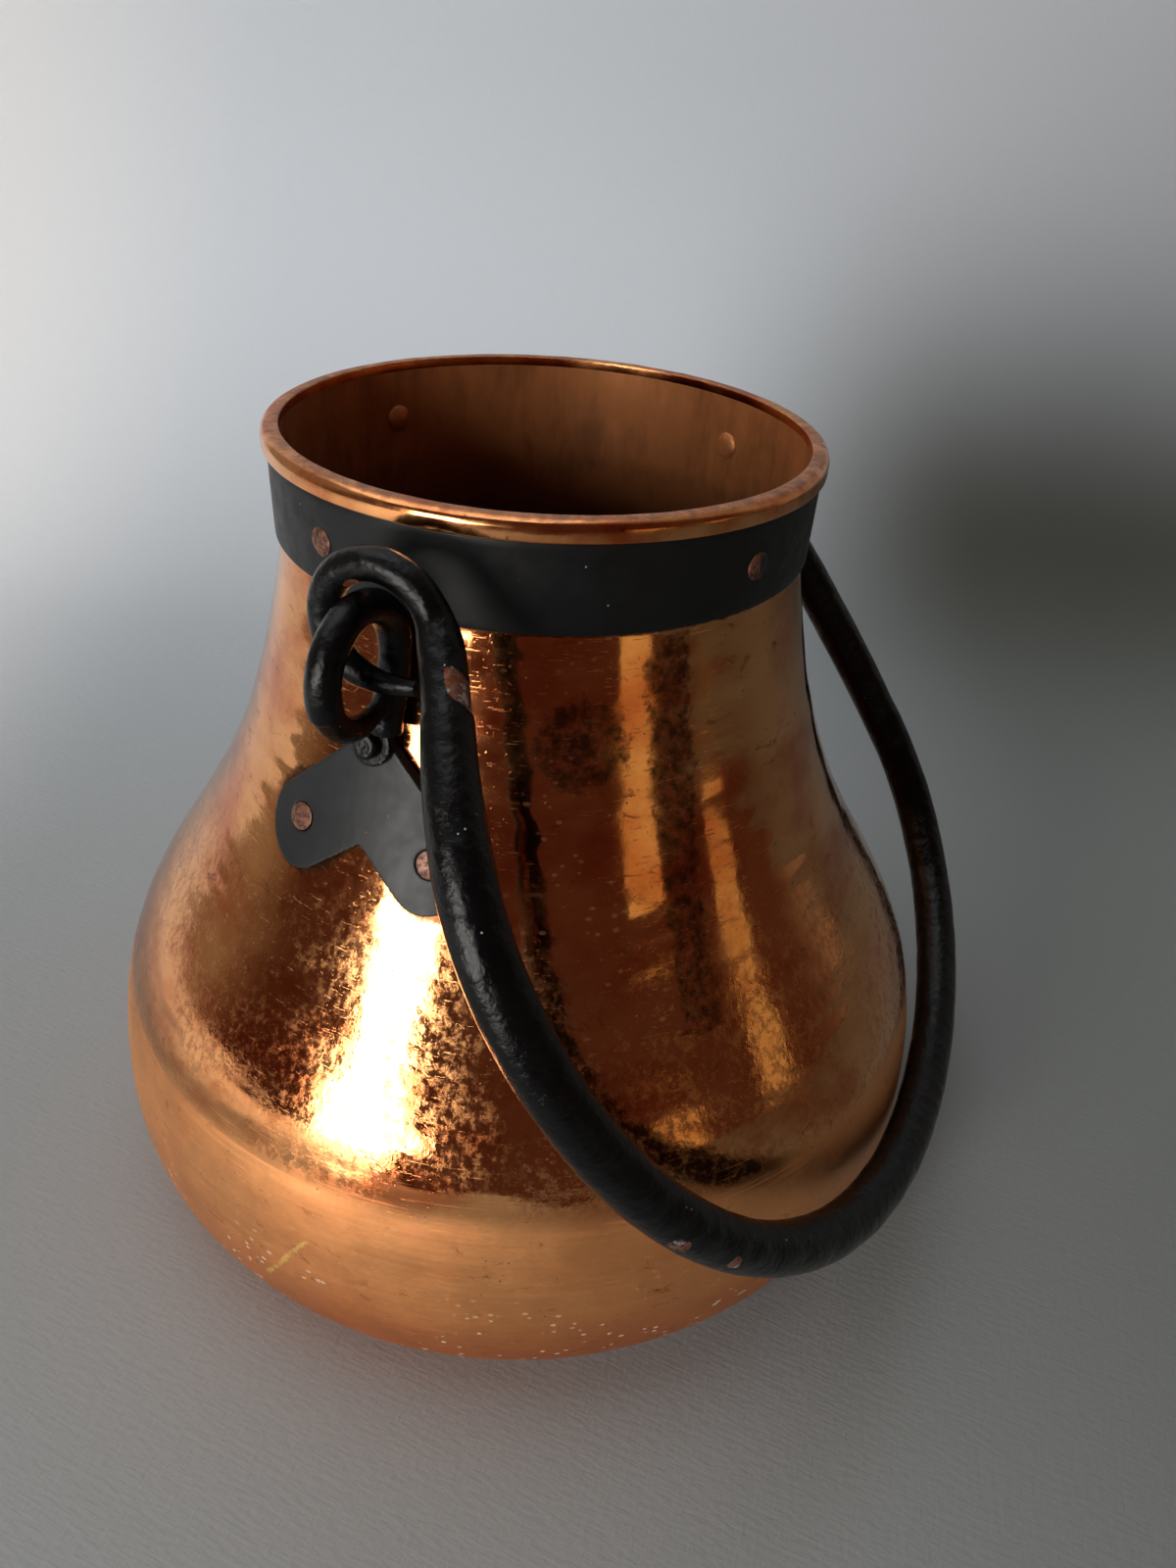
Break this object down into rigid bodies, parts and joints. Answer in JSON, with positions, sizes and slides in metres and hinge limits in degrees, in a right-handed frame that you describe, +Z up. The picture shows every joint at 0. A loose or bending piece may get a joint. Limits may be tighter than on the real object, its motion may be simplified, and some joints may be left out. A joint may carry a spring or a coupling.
{
  "type": "copper pot",
  "caption": "Pear-shaped copper pot with a rolled rim, an iron neck band, riveted iron ears and an iron bail that swings over the mouth.",
  "frame": {"origin": "centre of the flat base, on the ground", "axes": "+Z up along the pot's axis, the ears and the hinge line along Y, the bail hanging towards +X"},
  "size_m": [0.2426, 0.2363, 0.209],
  "materials": {
    "copper": "polished hammered copper",
    "rivet_copper": "darkened copper, worn flush",
    "iron": "black painted wrought iron, semi-gloss"
  },
  "bodies": {
    "pot": {"pot_body": "copper", "rim_wire": "iron", "neck_band": "iron", "band_rivets": "rivet_copper", "front_ear_plate": "iron", "back_ear_plate": "iron", "front_plate_rivets": "rivet_copper", "back_plate_rivets": "rivet_copper", "front_ear_loop": "iron", "back_ear_loop": "iron", "front_loop_stud": "iron", "back_loop_stud": "iron"},
    "bail": {"bail": "iron"}
  },
  "joints": [
    {"name": "bail_swing", "type": "hinge", "parent": "pot", "child": "bail", "pos_m": [0, 0, 0.1921], "axis": [0, -1, 0], "range_deg": [0, 261]}
  ]
}
